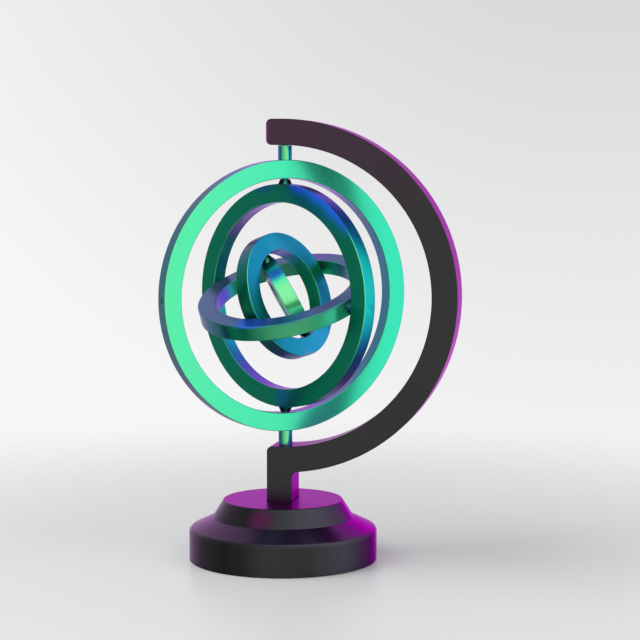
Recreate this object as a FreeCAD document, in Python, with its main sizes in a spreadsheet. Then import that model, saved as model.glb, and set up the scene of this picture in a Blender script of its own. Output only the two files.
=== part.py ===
import FreeCAD, Part
import math
import os
import Sketcher
from FreeCAD import Placement, Rotation, Vector

# Gyroscope on a stand: a round base carries a C-shaped arm, and five rings turn one inside
# the other between the arm's ends.
# Frame: +Z up, origin on the table under the middle of the base, the arm's bow towards +X.
# Every size is in millimetres and lives in the sheet "Sizes".

doc = FreeCAD.newDocument("gyroscope")
sheet = doc.addObject("Spreadsheet::Sheet", "Sizes")
parts = []


# ---------------------------------------------------------------------------------------
# Driving sizes
# ---------------------------------------------------------------------------------------

def size(name, value):
    """One named cell: a plain number, or a formula of other cells."""
    row = size.row
    size.row += 1
    sheet.set(f"A{row}", name)
    sheet.set(f"B{row}", str(value))
    sheet.setAlias(f"B{row}", name)


size.row = 1

# Base, turned from solid and pocketed from below
size("base_radius", 64.3)
size("base_wall_height", 21.4)
size("base_shoulder_round", 3.5)
size("neck_radius", 48.3)
size("neck_height", 29.1)
size("top_radius", 40.7)
size("base_height", 41.1)
size("base_edge_round", 0.8)
size("base_wall", 4.3)
size("pocket_height", 17.3)
size("rim_lift", 0.4)
size("pocket_radius", "=base_radius - base_wall")

# Closing plate, rubber foot pad and ballast in the pocket
size("plate_clearance", 0.2)
size("plate_bottom", 1.0)
size("plate_thickness", 2.0)
size("plate_top", "=plate_bottom + plate_thickness")
size("foot_inset", 5.0)
size("foot_hole_margin", 1.0)
size("ballast_clearance", 0.4)
size("ballast_bore", 22.0)
size("screw_circle", 34.0)
size("screw_radius", 2.0)
size("screw_head_radius", 4.0)
size("screw_grip", 8.0)
size("screw_clearance", 0.3)
size("screw_key", 2.5)
size("screw_key_depth", 1.4)

# Arm and post, one flat bar
size("post_width", 17.5)
size("arm_depth", 23.2)
size("arm_width", 17.5)
size("post_height", 37.6)
size("arm_corner_round", 3.6)
size("elbow_round", 4.0)
size("arm_edge_round", 0.6)
size("mortise_depth", 12.0)
size("mortise_gap", 0.25)
size("mortise_chamfer", 0.5)
size("post_bolt_spread", 6.0)
size("post_bolt_radius", 2.5)
size("post_bolt_grip", 10.0)
size("post_bolt_head_radius", 4.25)
size("post_bolt_head_height", 5.0)
size("post_bolt_clearance", 0.25)
size("post_bolt_key", 4.0)
size("post_bolt_key_depth", 2.5)
size("washer_radius", 5.0)
size("washer_thickness", 1.0)

# Rings: one bar section, one gap, and the outermost radius
size("ring_1_radius", 92.0)
size("ring_width", 12.4)
size("ring_thickness", 10.4)
size("ring_gap", 3.8)
size("ring_edge_round", 0.5)
size("ring_pitch", "=ring_width + ring_gap")
size("spindle_length", 9.9)
size("arm_inner_radius", "=ring_1_radius + spindle_length")
size("arm_outer_radius", "=arm_inner_radius + arm_width")
size("ring_height", "=base_height + post_height + arm_inner_radius")
size("axis_shift", 1.75)

# Spindles of the vertical axis, and their bearings in the arm
size("spindle_radius", 4.7)
size("spindle_end_gap", 0.3)
size("journal_radius", 2.5)
size("running_clearance", 0.05)
size("arm_bush_radius", 4.5)
size("arm_bush_length", 11.0)
size("arm_bush_sink", 0.3)
size("ball_radius", 2.2)
size("journal_length", "=arm_bush_length - ball_radius - running_clearance")
size("cap_gap", 1.0)
size("tenon_radius", 3.5)
size("tenon_length", 5.1)

# Pivots from ring to ring: pin, flared collar, bush and plug, the same at every pivot
size("pin_radius", 2.0)
size("pin_seat_depth", 7.0)
size("pin_head_radius", 3.1)
size("pin_head_length", 1.65)
size("pin_head_gap", 0.15)
size("pin_key", 2.5)
size("pin_key_depth", 1.2)
size("collar_radius", 4.7)
size("collar_tip_radius", 3.3)
size("collar_tip_gap", 0.5)
size("bush_radius", 3.0)
size("bush_sink", 0.2)
size("bush_end", 4.6)
size("plug_radius", 3.5)
size("plug_start", 6.9)
size("plug_sink", 0.15)
size("nub_radius", 1.6)
size("nub_height", 0.8)
size("side_plug_radius", 2.0)
size("side_plug_depth", 5.0)

# How far a cut runs past the surface that it opens
size("run_out", 1.0)

# Pose at rest, in degrees. Each turn is about the ring's own pivot axis, counted from the
# plane of the ring outside it. Each lead is the angle along a ring from its own pivots to
# the pivots of the next ring.
size("ring_1_turn", 40.9)
size("ring_2_turn", -71.1)
size("ring_3_turn", -69.0)
size("ring_4_turn", -71.2)
size("ring_5_turn", 42.1)
size("ring_1_lead", 0.0)
size("ring_2_lead", 94.0)
size("ring_3_lead", 77.4)
size("ring_4_lead", 90.0)

RING_COUNT = 5

# Two lengths closer than this are the same
CLOSE = 1e-3

for ring_number in range(1, RING_COUNT + 1):
    size(f"outer_{ring_number}", f"=ring_1_radius - {ring_number - 1} * ring_pitch")
    size(f"inner_{ring_number}", f"=outer_{ring_number} - ring_width")

doc.recompute()


def value(name):
    """The present value of a cell."""
    return float(sheet.get(name))


def bound(formula):
    """A formula of cell names, written for an object outside the sheet."""
    words = ""
    out = ""
    for character in formula + " ":
        if character.isalnum() or character == "_":
            words += character
            continue
        out += f"Sizes.{words}" if words[:1].isalpha() else words
        out += character
        words = ""
    return out.strip()


# ---------------------------------------------------------------------------------------
# Modelling helpers
# ---------------------------------------------------------------------------------------

def new_body(name):
    body = doc.addObject("PartDesign::Body", name)
    body.Label = name
    parts.append(body)
    return body


def new_sketch(body, plane):
    sketch = body.newObject("Sketcher::SketchObject", f"{body.Name}_outline")
    for feature in body.Origin.OriginFeatures:
        if feature.Role == plane:
            sketch.AttachmentSupport = (feature, "")
    sketch.MapMode = "FlatFace"
    doc.recompute()
    return sketch


def pin_point(sketch, edge, end, across, up):
    """Fix one point of a sketch with two formulas.

    A formula of "0" puts it on the axis, and None leaves that direction free."""
    for formula, kind, axis in ((across, "DistanceX", -2), (up, "DistanceY", -1)):
        if formula is None:
            continue
        if formula == "0":
            sketch.addConstraint(Sketcher.Constraint("PointOnObject", edge, end, axis))
            continue
        point = sketch.getPoint(edge, end)
        now = point.x if kind == "DistanceX" else point.y
        row = sketch.addConstraint(Sketcher.Constraint(kind, -1, 1, edge, end, now))
        sketch.setExpression(f"Constraints[{row}]", bound(formula))


def read(formula):
    """The number that a formula of cell names has now."""
    text = formula
    for name in sorted(words_of(formula), key=len, reverse=True):
        text = text.replace(name, repr(value(name)))
    return float(FreeCAD.Units.Quantity(text).Value)


def words_of(formula):
    """The cell names in a formula."""
    cleaned = "".join(c if c.isalnum() or c == "_" else " " for c in formula)
    return {word for word in cleaned.split() if word[:1].isalpha()}


def outline(sketch, corners):
    """A closed outline of straight lines through corners given as pairs of formulas."""
    spots = [Vector(read(across), read(up), 0) for across, up in corners]
    count = len(spots)
    edges = [
        sketch.addGeometry(Part.LineSegment(spots[i], spots[(i + 1) % count]))
        for i in range(count)
    ]
    for i in range(count):
        sketch.addConstraint(
            Sketcher.Constraint("Coincident", edges[i], 2, edges[(i + 1) % count], 1)
        )
    for i, (across, up) in enumerate(corners):
        pin_point(sketch, edges[i], 1, across, up)
    doc.recompute()


def turned(name, axis, corners):
    """A piece turned about its own X or Z axis from half an outline."""
    body = new_body(name)
    sketch = new_sketch(body, "XZ_Plane")
    outline(sketch, corners)
    revolution = body.newObject("PartDesign::Revolution", f"{name}_turned")
    revolution.Profile = sketch
    revolution.ReferenceAxis = (sketch, ["H_Axis" if axis == "X" else "V_Axis"])
    revolution.Angle = 360
    doc.recompute()
    return body


def round_edges(body, name, radius, chosen):
    """Round the edges of a body that a test picks."""
    sharp = body.Tip
    names = [f"Edge{i}" for i, edge in enumerate(sharp.Shape.Edges, 1) if chosen(edge)]
    fillet = body.newObject("PartDesign::Fillet", name)
    fillet.Base = (sharp, names)
    fillet.setExpression("Radius", bound(radius))
    body.Tip = fillet
    doc.recompute()


def bore(body, name, radius, depth, place):
    """A round hole from a place along that place's own Z."""
    before = body.Tip.Shape.Volume
    hole = body.newObject("PartDesign::SubtractiveCylinder", name)
    hole.setExpression("Radius", bound(radius))
    hole.setExpression("Height", bound(depth))
    hole.Placement = place
    body.Tip = hole
    doc.recompute()
    if hole.Shape.Volume > before - 0.1:
        raise ValueError(f"{name} cuts nothing")
    return hole


def hex_socket(body, name, key, place):
    """A six-sided socket from a place along that place's own Z, key being its cell."""
    socket = body.newObject("PartDesign::SubtractivePrism", name)
    socket.Polygon = 6
    socket.setExpression("Circumradius", f"Sizes.{key} / sqrt(3)")
    socket.setExpression("Height", bound(f"{key}_depth"))
    socket.Placement = place
    body.Tip = socket
    doc.recompute()


def along_x(distance, angle=0.0):
    """A place on a ring's bar whose Z points outwards, at an angle from the ring's X."""
    outwards = Rotation(Vector(0, 0, 1), angle) * Rotation(Vector(0, 1, 0), 90)
    return Placement(outwards.multVec(Vector(0, 0, distance)), outwards)


def at(x, y, z, rotation=Rotation()):
    return Placement(Vector(x, y, z), rotation)


def is_circle(edge, radius, height=None):
    if not isinstance(edge.Curve, Part.Circle):
        return False
    if abs(edge.Curve.Radius - radius) > CLOSE:
        return False
    return height is None or abs(edge.Curve.Center.z - height) < CLOSE


def is_level(edge, height):
    return all(abs(corner.Z - height) < CLOSE for corner in edge.Vertexes)


# ---------------------------------------------------------------------------------------
# Base
# ---------------------------------------------------------------------------------------

SCREW_ANGLES = (45, 135, 225, 315)
BOLT_SIDES = (1, -1)


def build_base_shell():
    shell = turned("base_shell", "Z", [
        ("0", "pocket_height"),
        ("pocket_radius", "pocket_height"),
        ("pocket_radius", "rim_lift"),
        ("base_radius", "rim_lift"),
        ("base_radius", "base_wall_height"),
        ("neck_radius", "neck_height"),
        ("top_radius", "base_height"),
        ("0", "base_height"),
    ])
    round_edges(shell, "shoulder_round", "base_shoulder_round",
                lambda e: is_circle(e, value("base_radius"), value("base_wall_height")))
    round_edges(shell, "top_round", "base_edge_round",
                lambda e: is_circle(e, value("top_radius"), value("base_height")))
    mortise = shell.newObject("PartDesign::SubtractiveBox", "mortise")
    mortise.setExpression("Length", bound("post_width + 2 * mortise_gap"))
    mortise.setExpression("Width", bound("arm_depth + 2 * mortise_gap"))
    mortise.setExpression("Height", bound("mortise_depth"))
    mortise.setExpression("Placement.Base.x", bound("0 - post_width / 2 - mortise_gap"))
    mortise.setExpression("Placement.Base.y", bound("0 - arm_depth / 2 - mortise_gap"))
    mortise.setExpression("Placement.Base.z", bound("base_height - mortise_depth"))
    shell.Tip = mortise
    doc.recompute()
    mouth = shell.newObject("PartDesign::Chamfer", "mortise_mouth")
    mouth.Base = (mortise, [
        f"Edge{i}" for i, edge in enumerate(mortise.Shape.Edges, 1)
        if isinstance(edge.Curve, Part.Line) and is_level(edge, value("base_height"))
    ])
    mouth.setExpression("Size", bound("mortise_chamfer"))
    shell.Tip = mouth
    doc.recompute()
    for number, side in enumerate(BOLT_SIDES, 1):
        bore(shell, f"bolt_hole_{number}", "post_bolt_radius + post_bolt_clearance",
             "base_height - mortise_depth - pocket_height",
             at(0, side * value("post_bolt_spread"), value("pocket_height")))
    for number, angle in enumerate(SCREW_ANGLES, 1):
        bore(shell, f"thread_{number}", "screw_radius", "screw_grip + run_out",
             screw_place(angle, value("pocket_height")))


def screw_place(angle, height):
    reach = Rotation(Vector(0, 0, 1), angle).multVec(Vector(value("screw_circle"), 0, 0))
    return at(reach.x, reach.y, height)


def build_ballast():
    ballast = turned("ballast_ring", "Z", [
        ("ballast_bore", "plate_top"),
        ("pocket_radius - ballast_clearance", "plate_top"),
        ("pocket_radius - ballast_clearance", "pocket_height"),
        ("ballast_bore", "pocket_height"),
    ])
    for number, angle in enumerate(SCREW_ANGLES, 1):
        bore(ballast, f"ballast_hole_{number}", "screw_radius + screw_clearance",
             "pocket_height - plate_top", screw_place(angle, value("plate_top")))


def build_base_plate():
    plate = turned("base_plate", "Z", [
        ("0", "plate_bottom"),
        ("pocket_radius - plate_clearance", "plate_bottom"),
        ("pocket_radius - plate_clearance", "plate_top"),
        ("0", "plate_top"),
    ])
    for number, angle in enumerate(SCREW_ANGLES, 1):
        sink = plate.newObject("PartDesign::SubtractiveCone", f"countersink_{number}")
        sink.setExpression("Radius1", bound("screw_head_radius"))
        sink.setExpression("Radius2", bound("screw_radius"))
        sink.setExpression("Height", bound("plate_thickness"))
        sink.Placement = screw_place(angle, value("plate_bottom"))
        plate.Tip = sink
        doc.recompute()


def build_foot():
    """A round pad under the closing plate, open round the heads of the plate's screws."""
    pad = turned("foot_pad", "Z", [
        ("0", "0"),
        ("pocket_radius - foot_inset", "0"),
        ("pocket_radius - foot_inset", "plate_bottom"),
        ("0", "plate_bottom"),
    ])
    for number, angle in enumerate(SCREW_ANGLES, 1):
        bore(pad, f"foot_hole_{number}", "screw_head_radius + foot_hole_margin",
             "plate_bottom", screw_place(angle, 0))


def build_plate_screw(number, angle):
    screw = turned(f"plate_screw_{number}", "Z", [
        ("0", "0"),
        ("screw_head_radius", "0"),
        ("screw_radius", "plate_thickness"),
        ("screw_radius", "pocket_height - plate_bottom + screw_grip"),
        ("0", "pocket_height - plate_bottom + screw_grip"),
    ])
    hex_socket(screw, f"drive_{number}", "screw_key", at(0, 0, 0))
    screw.Placement = screw_place(angle, value("plate_bottom"))


# ---------------------------------------------------------------------------------------
# Arm
# ---------------------------------------------------------------------------------------

def build_arm():
    """The C, its elbow and the post, from one outline in the plane of the bow."""
    body = new_body("stand_arm")
    sketch = new_sketch(body, "XZ_Plane")
    left = "0 - post_width / 2"
    right = "post_width / 2"
    foot = "base_height - mortise_depth"
    arc_top = "ring_height + arm_outer_radius"
    arc_low = "ring_height - arm_outer_radius"
    eye_top = "ring_height + arm_inner_radius"
    eye_low = "ring_height - arm_inner_radius"
    centre = Vector(value("axis_shift"), value("ring_height"), 0)
    outer, inner = value("arm_outer_radius"), value("arm_inner_radius")
    lean = math.asin((read(right) - value("axis_shift")) / outer)
    meet = Vector(read(right), centre.y - outer * math.cos(lean), 0)
    spots = {
        "top_left": Vector(read(left), read(arc_top), 0),
        "top": Vector(centre.x, read(arc_top), 0),
        "meet": meet,
        "foot_right": Vector(read(right), read(foot), 0),
        "foot_left": Vector(read(left), read(foot), 0),
        "elbow": Vector(read(left), read(eye_low), 0),
        "eye_low": Vector(centre.x, read(eye_low), 0),
        "eye_top": Vector(centre.x, read(eye_top), 0),
        "end_low": Vector(read(left), read(eye_top), 0),
    }

    def line(start, end):
        return sketch.addGeometry(Part.LineSegment(spots[start], spots[end]))

    def arc(radius, start, end):
        circle = Part.Circle(centre, Vector(0, 0, 1), radius)
        return sketch.addGeometry(Part.ArcOfCircle(circle, start, end))

    top = line("top_left", "top")
    bow_outer = arc(outer, lean - math.pi / 2, math.pi / 2)
    post_right = line("meet", "foot_right")
    post_foot = line("foot_right", "foot_left")
    post_left = line("foot_left", "elbow")
    elbow_top = line("elbow", "eye_low")
    bow_inner = arc(inner, -math.pi / 2, math.pi / 2)
    end_under = line("eye_top", "end_low")
    end_face = line("end_low", "top_left")
    joins = (
        (top, 2, bow_outer, 2), (bow_outer, 1, post_right, 1), (post_right, 2, post_foot, 1),
        (post_foot, 2, post_left, 1), (post_left, 2, elbow_top, 1), (elbow_top, 2, bow_inner, 1),
        (bow_inner, 2, end_under, 1), (end_under, 2, end_face, 1), (end_face, 2, top, 1),
    )
    for join in joins:
        sketch.addConstraint(Sketcher.Constraint("Coincident", *join))
    sketch.addConstraint(Sketcher.Constraint("Coincident", bow_outer, 3, bow_inner, 3))
    pin_point(sketch, bow_outer, 3, "axis_shift", "ring_height")
    pin_point(sketch, top, 1, left, arc_top)
    pin_point(sketch, top, 2, "axis_shift", arc_top)
    pin_point(sketch, post_foot, 1, right, foot)
    pin_point(sketch, post_foot, 2, left, foot)
    pin_point(sketch, post_left, 2, left, eye_low)
    pin_point(sketch, elbow_top, 2, "axis_shift", eye_low)
    pin_point(sketch, end_under, 1, "axis_shift", None)
    pin_point(sketch, end_under, 2, left, eye_top)
    sketch.addConstraint(Sketcher.Constraint("Vertical", post_right))
    doc.recompute()

    bar = body.newObject("PartDesign::Pad", "bar")
    bar.Profile = sketch
    bar.setExpression("Length", bound("arm_depth"))
    bar.Midplane = True
    doc.recompute()

    def cross_edge(edge, x, z):
        first, last = edge.Vertexes[0].Point, edge.Vertexes[-1].Point
        straight = abs(first.x - last.x) < CLOSE and abs(first.z - last.z) < CLOSE
        return straight and abs(first.x - x) < CLOSE and abs(first.z - z) < CLOSE

    ends = ("top_left", "end_low", "elbow")
    round_edges(body, "end_rounds", "arm_corner_round",
                lambda e: any(cross_edge(e, spots[s].x, spots[s].y) for s in ends))
    round_edges(body, "elbow_fillet", "elbow_round",
                lambda e: cross_edge(e, meet.x, meet.y))
    face = value("arm_depth") / 2
    round_edges(body, "edge_rounds", "arm_edge_round", lambda e: (
        all(abs(abs(v.Point.y) - face) < CLOSE for v in e.Vertexes)
        and abs(e.Vertexes[0].Point.y - e.Vertexes[-1].Point.y) < CLOSE
        and max(v.Point.z for v in e.Vertexes) > read(foot) + CLOSE))

    spin = value("axis_shift")
    bore(body, "upper_seat", "arm_bush_radius", "arm_width + 2 * run_out",
         at(spin, 0, read("ring_height + arm_inner_radius - run_out")))
    seat_depth = "arm_bush_sink + arm_bush_length + ball_radius"
    bore(body, "lower_seat", "arm_bush_radius", f"{seat_depth} + run_out",
         at(spin, 0, read(f"ring_height - arm_inner_radius - ({seat_depth})")))
    for number, side in enumerate(BOLT_SIDES, 1):
        bore(body, f"post_thread_{number}", "post_bolt_radius", "post_bolt_grip + run_out",
             at(0, side * value("post_bolt_spread"), read(foot)))


def build_post_bolt(number, side):
    roof = value("pocket_height")
    washer_place = at(0, side * value("post_bolt_spread"), roof - value("washer_thickness"))
    washer = turned(f"post_washer_{number}", "Z", [
        ("post_bolt_radius + post_bolt_clearance", "0"),
        ("washer_radius", "0"),
        ("washer_radius", "washer_thickness"),
        ("post_bolt_radius + post_bolt_clearance", "washer_thickness"),
    ])
    washer.Placement = washer_place
    shank = "washer_thickness + base_height - mortise_depth - pocket_height + post_bolt_grip"
    bolt = turned(f"post_bolt_{number}", "Z", [
        ("0", "0 - post_bolt_head_height"),
        ("post_bolt_head_radius", "0 - post_bolt_head_height"),
        ("post_bolt_head_radius", "0"),
        ("post_bolt_radius", "0"),
        ("post_bolt_radius", shank),
        ("0", shank),
    ])
    hex_socket(bolt, f"bolt_drive_{number}", "post_bolt_key",
               at(0, 0, -value("post_bolt_head_height")))
    bolt.Placement = washer_place


def build_arm_bearings():
    """Bushes, closing cap and thrust ball, in line on the vertical axis.

    Each is drawn outwards along its own X from the middle of the rings."""
    bush = [
        ("arm_inner_radius + arm_bush_sink", "journal_radius + running_clearance"),
        ("arm_inner_radius + arm_bush_sink", "arm_bush_radius"),
        ("arm_inner_radius + arm_bush_sink + arm_bush_length", "arm_bush_radius"),
        ("arm_inner_radius + arm_bush_sink + arm_bush_length",
         "journal_radius + running_clearance"),
    ]
    upper = turned("upper_bush", "X", bush)
    upper.Placement = pole(1)
    lower = turned("lower_bush", "X", bush)
    lower.Placement = pole(-1)
    cap_start = "arm_inner_radius + arm_bush_sink + arm_bush_length + cap_gap"
    cap = turned("arm_cap", "X", [
        (cap_start, "0"),
        (cap_start, "arm_bush_radius"),
        ("arm_outer_radius", "arm_bush_radius"),
        ("arm_outer_radius", "0"),
    ])
    cap.Placement = pole(1)
    ball = doc.addObject("Part::Sphere", "thrust_ball")
    ball.Label = "thrust_ball"
    ball.setExpression("Radius", bound("ball_radius"))
    reach = value("arm_inner_radius") + value("arm_bush_sink") + value("arm_bush_length")
    ball.Placement = at(value("axis_shift"), 0, value("ring_height") - reach)
    parts.append(ball)


# ---------------------------------------------------------------------------------------
# Rings
# ---------------------------------------------------------------------------------------

# Angles on the outermost ring, from its upper spindle
SIDES = (("left", 270), ("right", 90))

# Plugs that keep a nub, as the side plugs do
NUBBED = ("ring_2_plug_b",)


def pole(side):
    """The frame of the vertical axis: X up or down, from the middle of the rings."""
    middle = Vector(value("axis_shift"), 0, value("ring_height"))
    return Placement(middle, Rotation(Vector(0, 1, 0), -90 * side))


def ring_frames():
    """Each ring's frame at rest: X along its own pivots, Z square to its plane."""
    middle = Vector(value("axis_shift"), 0, value("ring_height"))
    upright = Rotation(Vector(1, 1, 1), 240)
    frame = Placement(middle, Rotation(Vector(0, 0, 1), value("ring_1_turn")) * upright)
    frames = {1: frame}
    for number in range(2, RING_COUNT + 1):
        lead = Rotation(Vector(0, 0, 1), value(f"ring_{number - 1}_lead"))
        turn = Rotation(Vector(1, 0, 0), value(f"ring_{number}_turn"))
        frame = frame * Placement(Vector(), lead * turn)
        frames[number] = frame
    return frames


def build_ring(number, frames):
    """One hoop of rectangular bar, with the bores of its own pins and of the next ring's."""
    outer, inner = f"outer_{number}", f"inner_{number}"
    ring = turned(f"ring_{number}", "Z", [
        (inner, "0 - ring_thickness / 2"),
        (outer, "0 - ring_thickness / 2"),
        (outer, "ring_thickness / 2"),
        (inner, "ring_thickness / 2"),
    ])
    round_edges(ring, f"ring_{number}_rounds", "ring_edge_round",
                lambda e: is_circle(e, value(outer)) or is_circle(e, value(inner)))
    if number < RING_COUNT:
        lead = value(f"ring_{number}_lead")
        for side, angle in (("a", lead), ("b", lead + 180)):
            bore(ring, f"ring_{number}_bush_seat_{side}", "bush_radius", "bush_end + run_out",
                 along_x(read(f"{inner} - run_out"), angle))
            bore(ring, f"ring_{number}_plug_seat_{side}", "plug_radius",
                 "ring_width - bush_end + run_out", along_x(read(f"{inner} + bush_end"), angle))
    if number > 1:
        for side, angle in (("a", 0), ("b", 180)):
            bore(ring, f"ring_{number}_pin_seat_{side}", "pin_radius", "pin_seat_depth + run_out",
                 along_x(read(f"{outer} - pin_seat_depth"), angle))
    else:
        for side, angle in SIDES:
            bore(ring, f"side_seat_{side}", "side_plug_radius", "side_plug_depth + run_out",
                 along_x(read(f"{outer} - side_plug_depth"), angle))
    ring.Placement = frames[number]


def build_spindle(name, side):
    """Tenon in the outermost ring, plain visible pin, and journal in the arm's bush."""
    tenon = "outer_1 - tenon_length"
    shoulder = "arm_inner_radius - spindle_end_gap"
    tip = "arm_inner_radius + arm_bush_sink + journal_length"
    spindle = turned(name, "X", [
        (tenon, "0"),
        (tenon, "tenon_radius"),
        ("outer_1", "tenon_radius"),
        ("outer_1", "spindle_radius"),
        (shoulder, "spindle_radius"),
        (shoulder, "journal_radius"),
        (tip, "journal_radius"),
        (tip, "0"),
    ])
    spindle.Placement = pole(side)


def nubbed_plug(name, start, radius, rim):
    """A plug along X from a start to just under the rim, with a small nub at its end."""
    return turned(name, "X", [
        (start, "0"),
        (start, radius),
        (f"{rim} - plug_sink", radius),
        (f"{rim} - plug_sink", "nub_radius"),
        (f"{rim} + nub_height / 2", "nub_radius"),
        (f"{rim} + nub_height", "nub_radius / 2"),
        (f"{rim} + nub_height", "0"),
    ])


def flush_plug(name, start, radius, rim):
    """A plug along X from a start, dressed at its end to the round of the ring."""
    plug = turned(name, "X", [
        (start, "0"),
        (start, radius),
        (f"{rim} + run_out / 2", radius),
        (f"{rim} + run_out / 2", "0"),
    ])
    sketch = new_sketch(plug, "XZ_Plane")
    outline(sketch, [
        (rim, f"0 - {radius} - run_out"),
        (f"{rim} + run_out", f"0 - {radius} - run_out"),
        (f"{rim} + run_out", f"{radius} + run_out"),
        (rim, f"{radius} + run_out"),
    ])
    dressed = plug.newObject("PartDesign::Groove", f"{name}_dressed")
    dressed.Profile = sketch
    dressed.ReferenceAxis = (sketch, ["V_Axis"])
    dressed.Angle = 360
    plug.Tip = dressed
    doc.recompute()
    return plug


def build_side_plug(name, angle, frames):
    plug = nubbed_plug(name, "outer_1 - side_plug_depth", "side_plug_radius", "outer_1")
    plug.Placement = frames[1] * Placement(Vector(), Rotation(Vector(0, 0, 1), angle))


def build_pivot(number, side, frames):
    """One pivot between a ring and the ring inside it, number being the inner one."""
    frame = frames[number] * Placement(Vector(), Rotation(Vector(0, 0, 1), 180 * side))
    letter = "ab"[side]
    carrier = number - 1
    wall, crown = f"inner_{carrier}", f"outer_{number}"

    head = f"{wall} + bush_end + pin_head_gap"
    pin = turned(f"ring_{number}_pin_{letter}", "X", [
        (f"{crown} - pin_seat_depth", "0"),
        (f"{crown} - pin_seat_depth", "pin_radius"),
        (head, "pin_radius"),
        (head, "pin_head_radius"),
        (f"{head} + pin_head_length", "pin_head_radius"),
        (f"{head} + pin_head_length", "0"),
    ])
    socket = read(head) + value("pin_head_length")
    hex_socket(pin, f"pin_drive_{number}{letter}", "pin_key",
               at(socket, 0, 0, Rotation(Vector(0, 1, 0), -90)))
    pin.Placement = frame

    collar = turned(f"ring_{number}_collar_{letter}", "X", [
        (f"{crown} - run_out", "pin_radius + running_clearance"),
        (f"{crown} - run_out", "collar_radius"),
        (crown, "collar_radius"),
        (f"{wall} - collar_tip_gap", "collar_tip_radius"),
        (f"{wall} - collar_tip_gap", "pin_radius + running_clearance"),
    ])
    saddle = collar.newObject("PartDesign::SubtractiveCylinder", f"saddle_{number}{letter}")
    saddle.setExpression("Radius", bound(crown))
    saddle.setExpression("Height", bound("2 * ring_thickness"))
    saddle.Placement = at(0, 0, -value("ring_thickness"))
    collar.Tip = saddle
    doc.recompute()
    collar.Placement = frame

    bush = turned(f"ring_{carrier}_bush_{letter}", "X", [
        (f"{wall} + bush_sink", "pin_radius + running_clearance"),
        (f"{wall} + bush_sink", "bush_radius"),
        (f"{wall} + bush_end", "bush_radius"),
        (f"{wall} + bush_end", "pin_radius + running_clearance"),
    ])
    bush.Placement = frame

    if carrier == 1:
        return
    name = f"ring_{carrier}_plug_{letter}"
    build_plug = nubbed_plug if name in NUBBED else flush_plug
    plug = build_plug(name, f"{wall} + plug_start", "plug_radius", f"outer_{carrier}")
    plug.Placement = frame


# ---------------------------------------------------------------------------------------
# Build, check and write
# ---------------------------------------------------------------------------------------

def build():
    build_base_shell()
    build_ballast()
    build_base_plate()
    build_foot()
    for number, angle in enumerate(SCREW_ANGLES, 1):
        build_plate_screw(number, angle)
    build_arm()
    for number, side in enumerate(BOLT_SIDES, 1):
        build_post_bolt(number, side)
    build_arm_bearings()
    frames = ring_frames()
    build_spindle("spindle_upper", 1)
    build_spindle("spindle_lower", -1)
    for side, angle in SIDES:
        build_side_plug(f"side_plug_{side}", angle, frames)
    for number in range(1, RING_COUNT + 1):
        build_ring(number, frames)
    for number in range(2, RING_COUNT + 1):
        for side in (0, 1):
            build_pivot(number, side, frames)
    return frames


def check():
    for thing in doc.Objects:
        if any(state in ("Invalid", "Error") for state in thing.State):
            raise ValueError(f"{thing.Name} is {thing.State}")
    for part in parts:
        if part.Shape.isNull() or not part.Shape.isValid():
            raise ValueError(f"{part.Label} has no valid shape")


def write():
    os.makedirs("parts", exist_ok=True)
    for part in parts:
        part.Shape.exportStep(f"parts/{part.Label}.step")


def report(frames):
    print(f"{len(parts)} pieces, ring centre at", frames[1].Base)
    for number, frame in frames.items():
        axis = frame.Rotation.multVec(Vector(1, 0, 0))
        print(f"ring {number} turns about ({axis.x:.5f}, {axis.y:.5f}, {axis.z:.5f})")


rest = build()
doc.recompute()
check()
write()
report(rest)
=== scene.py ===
# %% [markdown]
# # A kinetic gyroscope on its stand
# Five polished metal rings turn one inside the other between the ends of a C-shaped arm,
# which stands on a heavy round base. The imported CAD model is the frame: it says where every
# piece is and what moves with what. This lesson gives each piece its finish, rebuilds the
# rings as smooth hoops with Geometry Nodes, and sets up a small studio.

# %% Load the frame
import math

import bpy
import numpy as np
from mathutils import Matrix, Vector


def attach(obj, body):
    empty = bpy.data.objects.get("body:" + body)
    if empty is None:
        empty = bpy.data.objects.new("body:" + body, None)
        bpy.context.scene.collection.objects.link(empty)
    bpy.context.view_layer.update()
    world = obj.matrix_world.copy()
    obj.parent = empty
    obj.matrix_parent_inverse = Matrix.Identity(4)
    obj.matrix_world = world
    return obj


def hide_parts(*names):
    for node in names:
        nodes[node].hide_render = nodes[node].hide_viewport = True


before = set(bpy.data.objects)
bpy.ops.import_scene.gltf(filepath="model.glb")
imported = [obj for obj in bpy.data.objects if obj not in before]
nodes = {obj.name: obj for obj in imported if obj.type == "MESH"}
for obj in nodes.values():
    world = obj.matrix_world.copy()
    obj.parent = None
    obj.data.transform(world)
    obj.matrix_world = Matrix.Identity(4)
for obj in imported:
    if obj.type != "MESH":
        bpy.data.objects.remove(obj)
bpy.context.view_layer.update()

MM = 0.001

# %% [markdown]
# ## The camera
# The object is seen from a little over a metre away, slightly from the right and from 9 cm
# above the middle of the rings. A long lens keeps the rings round, and no shift is needed.
# The lens is given in pixels of a square picture, and becomes millimetres on the sensor.

# %% Camera
PICTURE = 640
FOCAL_PIXELS = 1806.59
SENSOR = 36.0
CAMERA_PLACE = (0.27445, -1.19406, 0.27012)
YAW, PITCH = math.radians(11.759), math.radians(4.951)

view = bpy.data.cameras.new("view")
view.sensor_fit = "HORIZONTAL"
view.sensor_width = SENSOR
view.lens = FOCAL_PIXELS / PICTURE * SENSOR
camera = bpy.data.objects.new("view", view)
camera.location = CAMERA_PLACE
forward = Vector((-math.sin(YAW) * math.cos(PITCH), math.cos(YAW) * math.cos(PITCH),
                  -math.sin(PITCH)))
camera.rotation_euler = forward.to_track_quat("-Z", "Y").to_euler()
bpy.context.scene.collection.objects.link(camera)
bpy.context.scene.camera = camera
print("lens in mm:", round(view.lens, 2))

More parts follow.
